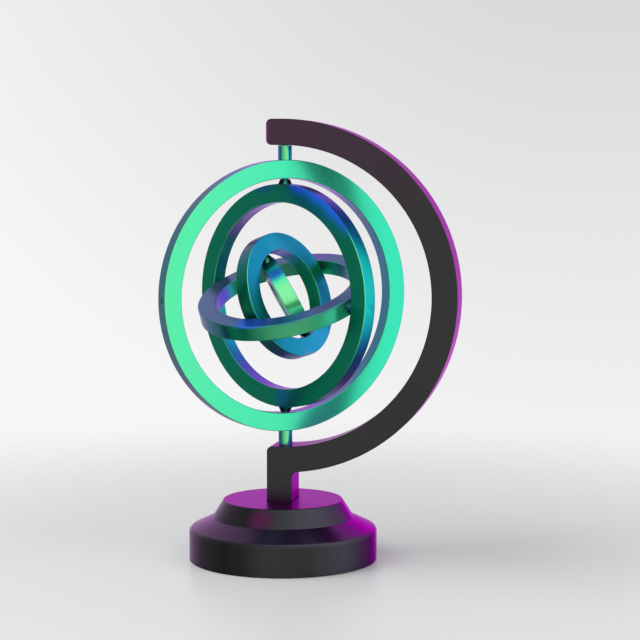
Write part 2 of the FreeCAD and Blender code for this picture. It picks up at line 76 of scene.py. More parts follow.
# %% [markdown]
# ## One helper for node graphs
# A material and a Geometry Nodes tree are both graphs of nodes. One function adds a node
# with its settings and its links, so that each graph reads as a list. A link may come from a
# number, a socket or a whole node, whose first active output is then used. Colours are
# written as hex values, as a paint chart gives them, and a second function makes them linear.

# %% Graph helper


def add(tree, kind, links=None, stops=(), **settings):
    """Add a node with its settings, its links by name or number, and a ramp's stops."""
    made = tree.nodes.new(kind)
    for key, setting in settings.items():
        setattr(made, key, setting)
    for key, source in (links or {}).items():
        active = [socket for socket in made.inputs if socket.enabled and socket.name == key]
        target = active[0] if active else made.inputs[key]
        if isinstance(source, bpy.types.Node):
            source = next(socket for socket in source.outputs if socket.enabled)
        if isinstance(source, bpy.types.NodeSocket):
            tree.links.new(source, target)
        else:
            target.default_value = source
    for index, (place, colour) in enumerate(stops):
        if index >= len(made.color_ramp.elements):
            made.color_ramp.elements.new(place)
        made.color_ramp.elements[index].position = place
        made.color_ramp.elements[index].color = linear(colour)
    return made


def linear(hex_colour):
    """An sRGB hex colour as linear RGBA."""
    channels = [int(hex_colour[i:i + 2], 16) / 255 for i in (1, 3, 5)]
    return [c / 12.92 if c <= 0.04045 else ((c + 0.055) / 1.055) ** 2.4
            for c in channels] + [1.0]


def blank_finish(name):
    """A new material with an empty graph."""
    material = bpy.data.materials.new(name)
    material.use_nodes = True
    material.node_tree.nodes.clear()
    return material, material.node_tree


# %% [markdown]
# ## Where each ring lies
# Each ring turns on a pivot in the ring around it. The rings rest at the angles below: each
# frame has its X along the ring's own pivots and its Z square to the ring's plane, and the
# next frame follows from it by the lead to the next pivots and the turn about them. Sizes
# are in millimetres and angles in degrees.

# %% Ring frames
CENTRE = Vector((1.75, 0.0, 180.6)) * MM
OUTER_RADIUS, BAR_WIDTH, BAR_THICKNESS, EDGE_ROUND = 92.0, 12.4, 10.4, 0.5
RING_PITCH = 16.2
FIRST_TURN = 40.9
TURNS = {2: -71.1, 3: -69.0, 4: -71.2, 5: 42.1}
LEADS = {1: 0.0, 2: 94.0, 3: 77.4, 4: 90.0}


def turn(degrees, axis):
    """A turn about an axis, as a matrix."""
    return Matrix.Rotation(math.radians(degrees), 4, axis)


# This turn swaps the axes round, so that X points up, along the spindles.
upright = turn(240, Vector((1, 1, 1)))
ring_frames = {1: Matrix.Translation(CENTRE) @ turn(FIRST_TURN, "Z") @ upright}
for number in range(2, 6):
    ring_frames[number] = (ring_frames[number - 1] @ turn(LEADS[number - 1], "Z")
                           @ turn(TURNS[number], "X"))
    axis = ring_frames[number].col[0].xyz
    print(f"ring {number} turns about", [round(value, 3) for value in axis])

# %% [markdown]
# ## The colour-shift coat
# The rings are aluminium, turned and lapped, with an interference coat laid on in a vacuum.
# The coat is clear, and so thin that light from its top and from the metal under it cancel
# at some wavelengths, and which ones depends on how thick it is and how it is seen. That
# colour-shift is painted in as a painted sheen: the hue is set by how squarely a surface
# faces the way to the camera at rest, mint green where it faces that way squarely, and
# running through teal and blue to violet and lilac as it turns edge-on.
#
# The hue is read from the way that a surface faces in its own piece, so a ring carries its
# painted colours with it as it turns. A shader that reads the camera would slide over the
# metal, and an export would lose it.
#
# Three ramps hold a ring's hues. A lit ramp paints the side that faces up and to the right,
# and a greyer, darker ramp paints the side away from it as painted shade. On walls that face
# inwards, a third ramp takes the shaded ramp's place: it is painted brighter, to lift the shade
# that falls inside a ring, and it covers more of the wall, less so where the wall faces up.
# Soft patches, each an ellipsoid with its own hue, paint in reflections of neighbouring parts
# and the shade that they cast.

# %% Colour-shift coat
# The way to the camera from the rings at rest. The hue painted from it is a painted sheen.
PAINTED_SHEEN_WAY = Vector((0.2225, -0.9716, 0.0802)).normalized()
# The sides painted lit, on the rings and on the stand, face up and to the right. The sides away
# from them are painted in shade.
RING_LIT_SIDE, STAND_LIT_SIDE = Vector((1.0, 0.0, 0.6)), Vector((1.0, 0.0, 0.45))

# The first ramp paints the lit side, and the second paints the shade on the other side.
LIT_HUES = [(0.0, "#C484F4"), (0.15, "#C46CFF"), (0.30, "#8450DC"), (0.48, "#5850C4"),
              (0.56, "#2A68C0"), (0.62, "#1A96CC"), (0.68, "#12CCD2"), (0.76, "#28E8D0"),
              (0.85, "#44FFCC"), (0.94, "#62FFB8"), (1.0, "#8CFFAC")]
SHADED_HUES = [(0.0, "#A098D0"), (0.20, "#7484A0"), (0.31, "#5E7498"), (0.45, "#427080"),
             (0.57, "#286A70"), (0.66, "#146458"), (0.73, "#046850"), (0.80, "#085C42"),
             (0.88, "#2C8C62"), (1.0, "#60C888")]
# On walls that face inwards this ramp takes the shaded one's place, painted brighter to lift
# the shade inside a ring.
INNER_LIFTED_SHADE_HUES = [(0.0, "#CCB4F4"), (0.15, "#B494E8"), (0.26, "#7C88B8"), (0.37, "#4C80A0"),
              (0.47, "#38788C"), (0.60, "#36BCA6"), (0.72, "#1CB868"), (0.80, "#0FB44C"),
              (0.92, "#5AAA94"), (1.0, "#98C8A0")]
# The collars' ramp is painted dark, as painted shade.
COLLAR_SHADE_HUES = [(0.0, "#3A3A60"), (0.5, "#123044"), (0.8, "#0A3A34"), (0.93, "#12604A"),
             (1.0, "#5AC890")]

# The place on the ramps wanders at random by a few hundredths, over patches of this size in
# millimetres.
CLOUD_SIZE, CLOUD_DEPTH = 24.0, 0.03
# How far a wall faces in when the inner ramp begins to show, and when it alone shows.
FACES_IN = (-0.3, -0.7)
# A wall that faces in is painted more in its inner shade ramp, but less so where it faces up.
INNER_LIFT, INNER_SHADE = (0, 0, 0.4), -0.3
# How far a wall faces the lit side when the painted lit ramp begins to show, and when it alone
# does.
FACES_LIT = (-0.1, 0.7)
# A painted patch ends at its reach, and is full within a tenth of it.
PAINTED_PATCH_EDGE, PAINTED_PATCH_HEART = 1.0, 0.1


def coat_hue(tree, clear, grey, inner=None, lit_side=RING_LIT_SIDE, drift=(0, 0, 0),
             greyness=0.0, pools=()):
    """Give a coat's hue, painted from ramps that run from edge-on to square on to the camera's
    way, and the share of the painted lit ramp.

    drift moves that painted sheen over the piece, per metre, and greyness moves the line
    between the painted lit and shaded ramps. The pools paint reflections of neighbouring parts
    and the
    shade that they cast: each pool has a frame, its reach along that frame's axes in
    millimetres, and its hue."""
    spot = add(tree, "ShaderNodeTexCoord").outputs
    place = add(tree, "ShaderNodeVectorMath", {0: spot["Object"], 1: CENTRE},
                operation="SUBTRACT")
    facing = add(tree, "ShaderNodeVectorMath", {0: spot["Normal"], 1: PAINTED_SHEEN_WAY},
                 operation="DOT_PRODUCT")
    square = add(tree, "ShaderNodeMath", {0: facing}, operation="ABSOLUTE")
    slope = add(tree, "ShaderNodeVectorMath", {0: place, 1: drift}, operation="DOT_PRODUCT")
    even = add(tree, "ShaderNodeMath", {0: square, 1: slope})
    clouds = add(tree, "ShaderNodeTexNoise",
                 {"Vector": spot["Object"], "Scale": 1 / (CLOUD_SIZE * MM)})
    sheen_phase = add(tree, "ShaderNodeMath", {0: clouds, 1: CLOUD_DEPTH, 2: even},
                    operation="MULTIPLY_ADD")
    lightward = add(tree, "ShaderNodeVectorMath", {0: spot["Normal"], 1: lit_side},
                   operation="DOT_PRODUCT")
    hue = add(tree, "ShaderNodeValToRGB", {"Fac": sheen_phase}, stops=grey)
    if inner:
        outwards = add(tree, "ShaderNodeVectorMath", {0: place}, operation="NORMALIZE")
        faced = add(tree, "ShaderNodeVectorMath", {0: spot["Normal"], 1: outwards},
                    operation="DOT_PRODUCT")
        inwards = add(tree, "ShaderNodeMapRange",
                      {"Value": faced, "From Min": FACES_IN[0], "From Max": FACES_IN[1]},
                      interpolation_type="SMOOTHSTEP")
        within = add(tree, "ShaderNodeValToRGB", {"Fac": sheen_phase}, stops=inner)
        hue = add(tree, "ShaderNodeMix", {"Factor": inwards, "A": hue, "B": within},
                  data_type="RGBA")
        upwards = add(tree, "ShaderNodeVectorMath", {0: spot["Normal"], 1: INNER_LIFT},
                      operation="DOT_PRODUCT")
        raised = add(tree, "ShaderNodeMath", {0: upwards, 1: INNER_SHADE})
        lightward = add(tree, "ShaderNodeMath", {0: inwards, 1: raised, 2: lightward},
                       operation="MULTIPLY_ADD")
    share = add(tree, "ShaderNodeMapRange",
                {"Value": lightward, "From Min": FACES_LIT[0] + greyness,
                 "From Max": FACES_LIT[1] + greyness},
                interpolation_type="SMOOTHSTEP")
    bright = add(tree, "ShaderNodeValToRGB", {"Fac": sheen_phase}, stops=clear)
    hue = add(tree, "ShaderNodeMix", {"Factor": share, "A": hue, "B": bright},
              data_type="RGBA")
    for patch_frame, reach, colour in pools:
        inside = add(tree, "ShaderNodeMapping",
                     {"Vector": spot["Object"], "Location": patch_frame.translation,
                      "Rotation": patch_frame.to_euler(), "Scale": Vector(reach) * MM},
                     vector_type="TEXTURE")
        away = add(tree, "ShaderNodeVectorMath", {0: inside}, operation="LENGTH")
        near = add(tree, "ShaderNodeMapRange",
                   {"Value": away, "From Min": PAINTED_PATCH_EDGE, "From Max": PAINTED_PATCH_HEART},
                   interpolation_type="SMOOTHSTEP")
        hue = add(tree, "ShaderNodeMix", {"Factor": near, "A": hue, "B": linear(colour)},
                  data_type="RGBA")
    return hue, share


# %% [markdown]
# ## The finish of the rings
# A ring is turned, then lapped and polished, so its faces keep marks that run round the
# ring, much finer than a millimetre. They are drawn half a millimetre apart, as fine as a
# picture can show, from noise that sees only the distance from the ring's axis and plane.
# The marks are a twentieth of a micrometre deep: they soften the gloss, and no more. The
# coat keeps a little haze, which scatters light as paint does, so the surface counts as
# three quarters metal, and its edge-on reflection has a faint lilac tint.

# %% Ring finish
COAT_TINT = "#CABFD8"
MARK_SPACING, MARK_DEPTH = 0.5, 0.00005
RING_GLOSS = (0.255, 0.27)
RING_METAL, RING_SPECULAR = 0.75, 0.2
# Nearly all of a noise lies between these two values, so a gloss is spread over them.
NOISE_SPAN = {"From Min": 0.3, "From Max": 0.7}


def ring_painted_patch(number, angle, distance, height, reach, colour):
    """A painted patch of reflection and shade on a ring, as coat_hue wants it."""
    lie = turn(angle, "Z") @ Matrix.Translation(Vector((distance, 0, height)) * MM)
    return ring_frames[number] @ lie, reach, colour


def ring_finish(number, **painted_look):
    """Lapped aluminium under the coat. film carries drift, the slope of its painted sheen,
    greyness, the shift of its painted shade, and pools, its painted patches of reflection and
    shade.
    """
    material, tree = blank_finish(f"interference_coated_aluminium_{number}")
    middle, axis = ring_frames[number].translation, ring_frames[number].col[2].xyz
    here = add(tree, "ShaderNodeTexCoord").outputs["Object"]
    place = add(tree, "ShaderNodeVectorMath", {0: here, 1: middle}, operation="SUBTRACT")
    height = add(tree, "ShaderNodeVectorMath", {0: place, 1: axis}, operation="DOT_PRODUCT")
    across = add(tree, "ShaderNodeVectorMath", {0: place, 1: axis},
                 operation="CROSS_PRODUCT")
    reach = add(tree, "ShaderNodeVectorMath", {0: across}, operation="LENGTH")
    lines = add(tree, "ShaderNodeCombineXYZ", {0: reach, 1: height})
    marks = add(tree, "ShaderNodeTexNoise",
                {"Vector": lines, "Scale": 1 / (MARK_SPACING * MM)})
    gloss = add(tree, "ShaderNodeMapRange",
                {**NOISE_SPAN, "Value": marks, "To Min": RING_GLOSS[0],
                 "To Max": RING_GLOSS[1]})
    relief = add(tree, "ShaderNodeBump", {"Height": marks, "Distance": MARK_DEPTH * MM})
    colour, _ = coat_hue(tree, LIT_HUES, SHADED_HUES, inner=INNER_LIFTED_SHADE_HUES, **painted_look)
    shader = add(tree, "ShaderNodeBsdfPrincipled",
                 {"Base Color": colour, "Roughness": gloss, "Metallic": RING_METAL,
                  "Normal": relief, "Specular Tint": linear(COAT_TINT),
                  "Specular IOR Level": RING_SPECULAR})
    add(tree, "ShaderNodeOutputMaterial", {"Surface": shader})
    return material


# The painted patches paint reflections of neighbouring parts and the shade that they cast.
# Each lies at an angle round its ring, a distance from its axis and a height over its middle
# plane, most of them on the face that points to the front. Then come its reach across the
# bar, along it and into it, and its hue.
NEAR_FACE = -BAR_THICKNESS / 2
RING_PAINTED_PATCHES = {
    1: [],
    2: [(28, 70, NEAR_FACE, (18, 44, 2.5), "#0B6478"),
        (13, 78, NEAR_FACE, (10, 14, 2.5), "#2A68FF"),
        (25, 78, NEAR_FACE, (11, 18, 2.5), "#2A68FF"),
        (38, 78, NEAR_FACE, (11, 18, 2.5), "#2468F4"),
        (48, 78, NEAR_FACE, (9, 16, 2.5), "#1C60D8"),
        (349, 76, NEAR_FACE, (9, 14, 2.5), "#0C5070"),
        (179, 68, NEAR_FACE, (12, 10, 2.5), "#0C5A74"),
        (18, 77, 3, (5, 24, 8), "#48288C"),
        (138, 77, 3, (5, 18, 8), "#7A3C8C"),
        (325, 61, 0, (4.5, 26, 10), "#D088F0")],
    3: [(12, 53, NEAR_FACE, (14, 24, 2.5), "#38507C"),
        (46, 53, NEAR_FACE, (14, 24, 2.5), "#2874A0"),
        (72, 53, NEAR_FACE, (14, 17, 2.5), "#3474FF"),
        (250, 53, NEAR_FACE, (14, 26, 2.5), "#6C5CB0"),
        (12, 60, 0, (5, 18, 9), "#40CC9C"),
        (0, 60, 0, (6, 8, 8), "#204C84"),
        (152, 45, 0, (4.5, 24, 10), "#6A4CF4"),
        (276, 45, 0, (4.5, 18, 10), "#3CB080")],
    4: [(0, 37, NEAR_FACE, (18, 28, 2.5), "#098480"),
        (125, 37, NEAR_FACE, (16, 30, 2.5), "#30BCE8"),
        (245, 37, NEAR_FACE, (30, 50, 2.5), "#2CACE4"),
        (178, 37, NEAR_FACE, (14, 9, 2.5), "#189868"),
        (288, 44, 0, (6, 11, 8), "#BC90E4"),
        (116, 29, 0, (4.5, 18, 10), "#9080F0"),
        (186, 29, 0, (4.5, 24, 10), "#10C060")],
    5: [(317, 27, 0, (8, 8, 18), "#1C66B8"),
        (340, 27, 0, (9, 9, 18), "#0C8060"),
        (242, 27, 0, (8, 11, 18), "#24804C")],
}
# Ring 1's painted sheen runs from mint towards turquoise along +X. Ring 3 is painted with more
# shade than the others, and ring 5 with less.
RING_SHEEN_DRIFT = {1: (-0.7, 0, 0)}
RING_SHADE_SHIFT = {3: 0.35, 5: -0.3}

ring_materials = {}
# Each ring's finish carries its painted sheen, its painted shade and its painted patches of
# reflection and shade.
for number, pools in RING_PAINTED_PATCHES.items():
    ring_materials[number] = ring_finish(number, drift=RING_SHEEN_DRIFT.get(number, (0, 0, 0)),
                                         greyness=RING_SHADE_SHIFT.get(number, 0.0),
                                         pools=[ring_painted_patch(number, *pool) for pool in pools])
    print(f"ring {number}: {len(pools)} pools of film")

# %% [markdown]
# ## The finish of the pivots
# The spindles and pins are ground steel under the same coat, with the same painted sheen and
# painted light and shade. The stone's marks are drawn 0.4 mm apart, coarser than they are,
# so that they show. The small collars between two rings have a deep ramp of their own,
# painted dark as the shade of the two rings round them.

# %% Pivot finish
GRIND_SPACING = 0.4
PIVOT_GLOSS = (0.21, 0.27)
PIVOT_METAL = 0.9


def pivot_finish(name, clear, grey, pools=()):
    """Ground steel under the coat."""
    material, tree = blank_finish(name)
    here = add(tree, "ShaderNodeTexCoord").outputs["Object"]
    grinding = add(tree, "ShaderNodeTexNoise",
                   {"Vector": here, "Scale": 1 / (GRIND_SPACING * MM)})
    gloss = add(tree, "ShaderNodeMapRange",
                {**NOISE_SPAN, "Value": grinding, "To Min": PIVOT_GLOSS[0],
                 "To Max": PIVOT_GLOSS[1]})
    colour, _ = coat_hue(tree, clear, grey, pools=pools)
    shader = add(tree, "ShaderNodeBsdfPrincipled",
                 {"Base Color": colour, "Roughness": gloss, "Metallic": PIVOT_METAL,
                  "Specular Tint": linear(COAT_TINT)})
    add(tree, "ShaderNodeOutputMaterial", {"Surface": shader})
    return material


# Both spindles are painted bluer along their left side, as a painted reflection, and one collar
# of ring 3 a deeper blue, as painted shade.
spindle_side = Matrix.Translation(Vector((-2.6, -2.8, 180)) * MM)
pivot_coat = pivot_finish("interference_coated_steel", LIT_HUES, SHADED_HUES,
                          pools=[(spindle_side, (2.6, 3.4, 400), "#3460D8")])
collar_coat = pivot_finish("shaded_coat_on_steel", COLLAR_SHADE_HUES, COLLAR_SHADE_HUES,
                           pools=[ring_painted_patch(3, 0, 60, 0, (9, 9, 9), "#163860")])
print("pivot finishes:", pivot_coat.name, "and", collar_coat.name)

# %% [markdown]
# ## The hoops
# Each ring is one hoop of rectangular bar with softly rounded edges. Its shape follows a
# rule: a rounded rectangle carried round a circle, less the bores for its bushes, plugs and
# pins. Geometry Nodes suit that, because one tree with named sizes makes all five rings.

# %% Hoop tree
EDGE_STEPS = 6
hoop_tree = bpy.data.node_groups.new("ring_hoop", "GeometryNodeTree")
HOOP_INPUTS = {
    "Outer Radius": "Float", "Bar Width": "Float", "Bar Thickness": "Float",
    "Edge Round": "Float", "Segments": "Int", "Pivot Bores": "Bool", "Pivot Angle": "Float",
    "Bush Radius": "Float", "Bush Depth": "Float", "Plug Radius": "Float",
    "Blind Angle": "Float", "Blind Radius": "Float", "Blind Depth": "Float",
    "Finish": "Material",
}
for label, kind in HOOP_INPUTS.items():
    hoop_tree.interface.new_socket(name=label, in_out="INPUT",
                                   socket_type=f"NodeSocket{kind}")
hoop_tree.interface.new_socket(name="Hoop", in_out="OUTPUT", socket_type="NodeSocketGeometry")
given = add(hoop_tree, "NodeGroupInput").outputs

middle_radius = add(hoop_tree, "ShaderNodeMath",
                    {0: given["Bar Width"], 1: -0.5, 2: given["Outer Radius"]},
                    operation="MULTIPLY_ADD")
path = add(hoop_tree, "GeometryNodeCurvePrimitiveCircle",
           {"Resolution": given["Segments"], "Radius": middle_radius})
section = add(hoop_tree, "GeometryNodeCurvePrimitiveQuadrilateral",
              {"Width": given["Bar Width"], "Height": given["Bar Thickness"]})
rounded = add(hoop_tree, "GeometryNodeFilletCurve",
              {"Curve": section, "Count": EDGE_STEPS, "Radius": given["Edge Round"]},
              mode="POLY")
bar = add(hoop_tree, "GeometryNodeCurveToMesh", {"Curve": path, "Profile Curve": rounded})
print("a hoop's sizes:", ", ".join(HOOP_INPUTS))

# %% [markdown]
# Bores come in pairs, one at each end of a pivot's axis. Two points on the ring's X carry a
# cylinder each, lying along X, and the pair is turned to its angle. A narrow bore from inside
# takes the bush, a wider one from outside takes the plug, and a blind one takes a pin. A
# cutter runs out past the surface, and two that meet overlap a little, so that no skin of
# metal is left between them.

# %% Bores
BORE_SIDES = 64
RUN_OUT = 1.0 * MM
OVERLAP = 0.1 * MM


def bore_pair(tree, radius, start, end, angle):
    """Two cutters across the ring, between two distances from its axis."""
    both = add(tree, "ShaderNodeMath", {0: start, 1: end})
    middle = add(tree, "ShaderNodeMath", {0: both, 1: 0.5}, operation="MULTIPLY")
    back = add(tree, "ShaderNodeMath", {0: both, 1: -1.0}, operation="MULTIPLY")
    length = add(tree, "ShaderNodeMath", {0: end, 1: start}, operation="SUBTRACT")
    drill = add(tree, "GeometryNodeMeshCylinder",
                {"Vertices": BORE_SIDES, "Radius": radius, "Depth": length})
    place = add(tree, "ShaderNodeCombineXYZ", {0: middle})
    step = add(tree, "ShaderNodeCombineXYZ", {0: back})
    ends = add(tree, "GeometryNodeMeshLine",
               {"Count": 2, "Start Location": place, "Offset": step})
    pair = add(tree, "GeometryNodeInstanceOnPoints",
               {"Points": ends, "Instance": drill, "Rotation": (0, math.pi / 2, 0)})
    loose = add(tree, "GeometryNodeRealizeInstances", {0: pair})
    turned = add(tree, "ShaderNodeCombineXYZ", {2: angle})
    return add(tree, "GeometryNodeTransform", {"Geometry": loose, "Rotation": turned})


inner_radius = add(hoop_tree, "ShaderNodeMath",
                   {0: given["Outer Radius"], 1: given["Bar Width"]}, operation="SUBTRACT")
bush_start = add(hoop_tree, "ShaderNodeMath", {0: inner_radius, 1: -RUN_OUT})
bush_end = add(hoop_tree, "ShaderNodeMath", {0: inner_radius, 1: given["Bush Depth"]})
plug_start = add(hoop_tree, "ShaderNodeMath", {0: bush_end, 1: -OVERLAP})
blind_start = add(hoop_tree, "ShaderNodeMath",
                  {0: given["Outer Radius"], 1: given["Blind Depth"]}, operation="SUBTRACT")
clear_end = add(hoop_tree, "ShaderNodeMath", {0: given["Outer Radius"], 1: RUN_OUT})
bushes = bore_pair(hoop_tree, given["Bush Radius"], bush_start, bush_end,
                   given["Pivot Angle"])
plugs = bore_pair(hoop_tree, given["Plug Radius"], plug_start, clear_end,
                  given["Pivot Angle"])
blinds = bore_pair(hoop_tree, given["Blind Radius"], blind_start, clear_end,
                   given["Blind Angle"])
cut = add(hoop_tree, "GeometryNodeMeshBoolean", {"Mesh 1": bar}, operation="DIFFERENCE",
          solver="EXACT")
for cutter in (bushes, plugs):
    wanted = add(hoop_tree, "GeometryNodeSwitch",
                 {"Switch": given["Pivot Bores"], "True": cutter}, input_type="GEOMETRY")
    hoop_tree.links.new(wanted.outputs[0], cut.inputs["Mesh 2"])
hoop_tree.links.new(blinds.outputs[0], cut.inputs["Mesh 2"])
smooth = add(hoop_tree, "GeometryNodeSetShadeSmooth", {"Geometry": cut})
finished = add(hoop_tree, "GeometryNodeSetMaterial",
               {"Geometry": smooth, "Material": given["Finish"]})
add(hoop_tree, "NodeGroupOutput", {"Hoop": finished})
print("hoop tree:", len(hoop_tree.nodes), "nodes")

# %% [markdown]
# ## True normals
# A wide flat face beside a narrow rounding shades badly when the normals are averaged. The
# bar's section is a rounded rectangle, so the true normal follows from the place alone: it
# points from the nearest spot of the smaller rectangle inside the roundings. A face whose
# middle lies deeper than the rounding is part of a bore. On a bore's wall, which lies along
# the bore, the normal points to its axis, and on its floor it is the face's own.

# %% True normals
BELOW_SKIN = EDGE_ROUND * MM * 0.9
ALONG_BORE = 0.1
TINY = 1e-9


def true_normals(mesh, outer, bore_angles):
    """Give a hoop in its own frame the exact normals of its rounded bar and bores."""
    spots = np.empty(len(mesh.vertices) * 3)
    mesh.vertices.foreach_get("co", spots)
    corner = np.empty(len(mesh.loops), int)
    mesh.loops.foreach_get("vertex_index", corner)
    spots = spots.reshape(-1, 3)
    owner = np.repeat(np.arange(len(mesh.polygons)),
                      [polygon.loop_total for polygon in mesh.polygons])
    facing = np.array([polygon.normal for polygon in mesh.polygons])
    centres = np.array([polygon.center for polygon in mesh.polygons])
    half = np.array([BAR_WIDTH, BAR_THICKNESS]) / 2 * MM - EDGE_ROUND * MM

    def from_core(places):
        """How far places lie out of the inner rectangle, and their way out from the axis."""
        reach = np.hypot(places[:, 0], places[:, 1])
        flat = np.stack([reach - (outer - BAR_WIDTH / 2) * MM, places[:, 2]], 1)
        beyond = np.sign(flat) * np.maximum(np.abs(flat) - half, 0)
        return beyond, places[:, :2] / reach[:, None]

    beyond, outwards = from_core(spots[corner])
    beyond /= np.maximum(np.linalg.norm(beyond, axis=1, keepdims=True), TINY)
    normals = np.column_stack([outwards * beyond[:, :1], beyond[:, 1]])
    depth, _ = from_core(centres)
    inside = np.linalg.norm(depth, axis=1) < BELOW_SKIN
    normals[inside[owner]] = facing[owner][inside[owner]]
    for angle in bore_angles:
        line = np.array([math.cos(math.radians(angle)), math.sin(math.radians(angle)), 0])
        beside = centres @ line > 0
        wall = inside & beside & (np.abs(facing @ line) < ALONG_BORE)
        picked = wall[owner]
        places = spots[corner[picked]]
        inwards = (places @ line)[:, None] * line - places
        normals[picked] = inwards / np.linalg.norm(inwards, axis=1, keepdims=True)
    mesh.normals_split_custom_set(normals.tolist())


# %% [markdown]
# ## Making the five rings
# The tree runs once for each ring, and its result is kept as a plain mesh in the ring's
# place. Rings 1 to 4 have bores for the next ring's pivots, and on ring 1 the spindles fill
# the outer half of them. The blind bores of ring 1 hold its side plugs, and those of the
# other rings hold their own pins. Each hoop takes the place of its CAD ring and rides on
# that ring's body.

# %% Make the hoops
BODIES = {1: "ring_one", 2: "ring_two", 3: "ring_three", 4: "ring_four", 5: "ring_five"}
INNERMOST = 5
SEGMENTS = 288
BUSH_RADIUS, BUSH_DEPTH, PLUG_RADIUS, BLIND_RADIUS = 3.0, 4.6, 3.5, 2.0
SIDE_PLUG_ANGLE, SIDE_PLUG_DEPTH = 90.0, 5.0
PIN_ANGLE, PIN_DEPTH = 0.0, 7.0
for number, body in BODIES.items():
    outer = OUTER_RADIUS - (number - 1) * RING_PITCH
    blind_angle, blind_depth = PIN_ANGLE, PIN_DEPTH
    if number == 1:
        blind_angle, blind_depth = SIDE_PLUG_ANGLE, SIDE_PLUG_DEPTH
    holder = bpy.data.objects.new(f"hoop_{number}", bpy.data.meshes.new("start"))
    bpy.context.scene.collection.objects.link(holder)
    maker = holder.modifiers.new("hoop", "NODES")
    maker.node_group = hoop_tree
    sizes = {"Outer Radius": outer * MM, "Bar Width": BAR_WIDTH * MM,
             "Bar Thickness": BAR_THICKNESS * MM, "Edge Round": EDGE_ROUND * MM,
             "Segments": SEGMENTS, "Pivot Bores": number < INNERMOST,
             "Pivot Angle": math.radians(LEADS.get(number, 0.0)),
             "Bush Radius": BUSH_RADIUS * MM, "Bush Depth": BUSH_DEPTH * MM,
             "Plug Radius": PLUG_RADIUS * MM, "Blind Angle": math.radians(blind_angle),
             "Blind Radius": BLIND_RADIUS * MM, "Blind Depth": blind_depth * MM,
             "Finish": ring_materials[number]}
    for socket in hoop_tree.interface.items_tree:
        if socket.in_out == "INPUT":
            maker[socket.identifier] = sizes[socket.name]
    shape = holder.evaluated_get(bpy.context.evaluated_depsgraph_get())
    mesh = bpy.data.meshes.new_from_object(shape)
    bpy.data.objects.remove(holder)
    pivots = [] if number == INNERMOST else [LEADS[number], LEADS[number] + 180]
    true_normals(mesh, outer, pivots + [blind_angle, blind_angle + 180])
    mesh.transform(ring_frames[number])
    hoop = bpy.data.objects.new(f"hoop_{number}", mesh)
    bpy.context.scene.collection.objects.link(hoop)
    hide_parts(f"ring_{number}")
    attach(hoop, body)
    print(f"hoop {number}: {len(mesh.polygons)} faces")

# %% [markdown]
# ## The lacquer of the stand
# Base and arm are steel under a satin black lacquer, whose pearl flake shifts to magenta
# edge-on.
# Its colour is painted by the same rule as the coat, with ramps of its own: charcoal where a
# face looks square to the camera's way, and a painted magenta sheen where it lies edge-on to
# it, brighter on the side painted lit and dimmer on the side painted in shade. The flake also
# tints what is reflected edge-on, strongly on the lit side and hardly at all on the other.
# Sprayed lacquer keeps a faint orange peel, about two millimetres from crest to crest, and its
# gloss is a little uneven over patches of six millimetres.

# %% Stand lacquer
PEEL_SPACING, PEEL_DEPTH = 2.0, 0.01
SATIN_PATCH = 6.0
LACQUER_GLOSS = (0.27, 0.32)
# Reflection tints for the side painted in shade and the side painted lit.
SHADED_SIDE_TINT, LIT_SIDE_TINT = "#E8CCEA", "#F090F4"
# The lacquer's lit and shaded ramps: charcoal square on, and a painted magenta sheen edge-on.
STAND_LIT_HUES = [(0.0, "#B05CB6"), (0.2, "#B82CBC"), (0.33, "#6C3A76"), (0.45, "#4A3E56"),
               (0.6, "#443E4E"), (0.8, "#4E4C58"), (0.95, "#404244"), (1.0, "#383838")]
STAND_SHADED_HUES = [(0.0, "#9C48A4"), (0.15, "#6C587C"), (0.25, "#4E5058"), (0.4, "#3C3E40"),
              (0.55, "#2C2C2E"), (0.8, "#222222"), (0.92, "#292929"), (1.0, "#3C3C3C")]
stand_lacquer, tree = blank_finish("magenta_pearl_lacquer")
here = add(tree, "ShaderNodeTexCoord").outputs["Object"]
peel = add(tree, "ShaderNodeTexNoise", {"Vector": here, "Scale": 1 / (PEEL_SPACING * MM)})
satin = add(tree, "ShaderNodeTexNoise", {"Vector": here, "Scale": 1 / (SATIN_PATCH * MM)})
gloss = add(tree, "ShaderNodeMapRange",
            {**NOISE_SPAN, "Value": satin, "To Min": LACQUER_GLOSS[0],
             "To Max": LACQUER_GLOSS[1]})
relief = add(tree, "ShaderNodeBump", {"Height": peel, "Distance": PEEL_DEPTH * MM})

# Painted patches: a lighter plum tone painted along the upper arm, a painted magenta highlight
# at its tip and a painted plum highlight on one spot of the base cone.
upper_arm = Matrix.Translation(Vector((0, -12, 310)) * MM)
arm_tip = Matrix.Translation(Vector((-10.2, -12, 290)) * MM)
base_cone = Matrix.Translation(Vector((-5, -43, 32)) * MM)
hue, share = coat_hue(tree, STAND_LIT_HUES, STAND_SHADED_HUES, lit_side=STAND_LIT_SIDE,
                      pools=[(upper_arm, (190, 9, 125), "#463642"),
                             (arm_tip, (4, 8, 16), "#A82CA0"),
                             (base_cone, (13, 10, 14), "#54224A")])
pearl = add(tree, "ShaderNodeMix",
            {"Factor": share, "A": linear(SHADED_SIDE_TINT), "B": linear(LIT_SIDE_TINT)},
            data_type="RGBA")
shader = add(tree, "ShaderNodeBsdfPrincipled",
             {"Base Color": hue, "Roughness": gloss, "Metallic": 1.0, "Normal": relief,
              "Specular Tint": pearl})
add(tree, "ShaderNodeOutputMaterial", {"Surface": shader})
print("lacquer nodes:", len(tree.nodes))

# %% [markdown]
# ## Bearings, screws and what is under the base
# These are the parts that a hand finds when it turns the stand over. Bushes are plain brass,
# screws are zinc plated, the closing plate is blackened steel, the ballast is rough cast
# iron, and the foot is a moulded rubber pad with a fine matt grain. Each has two tones that
# meet in soft patches, and a grit that shows in its gloss and in its relief. The grits are
# drawn coarser than real ones, half a millimetre and more, so that they show.

# %% Hardware finishes


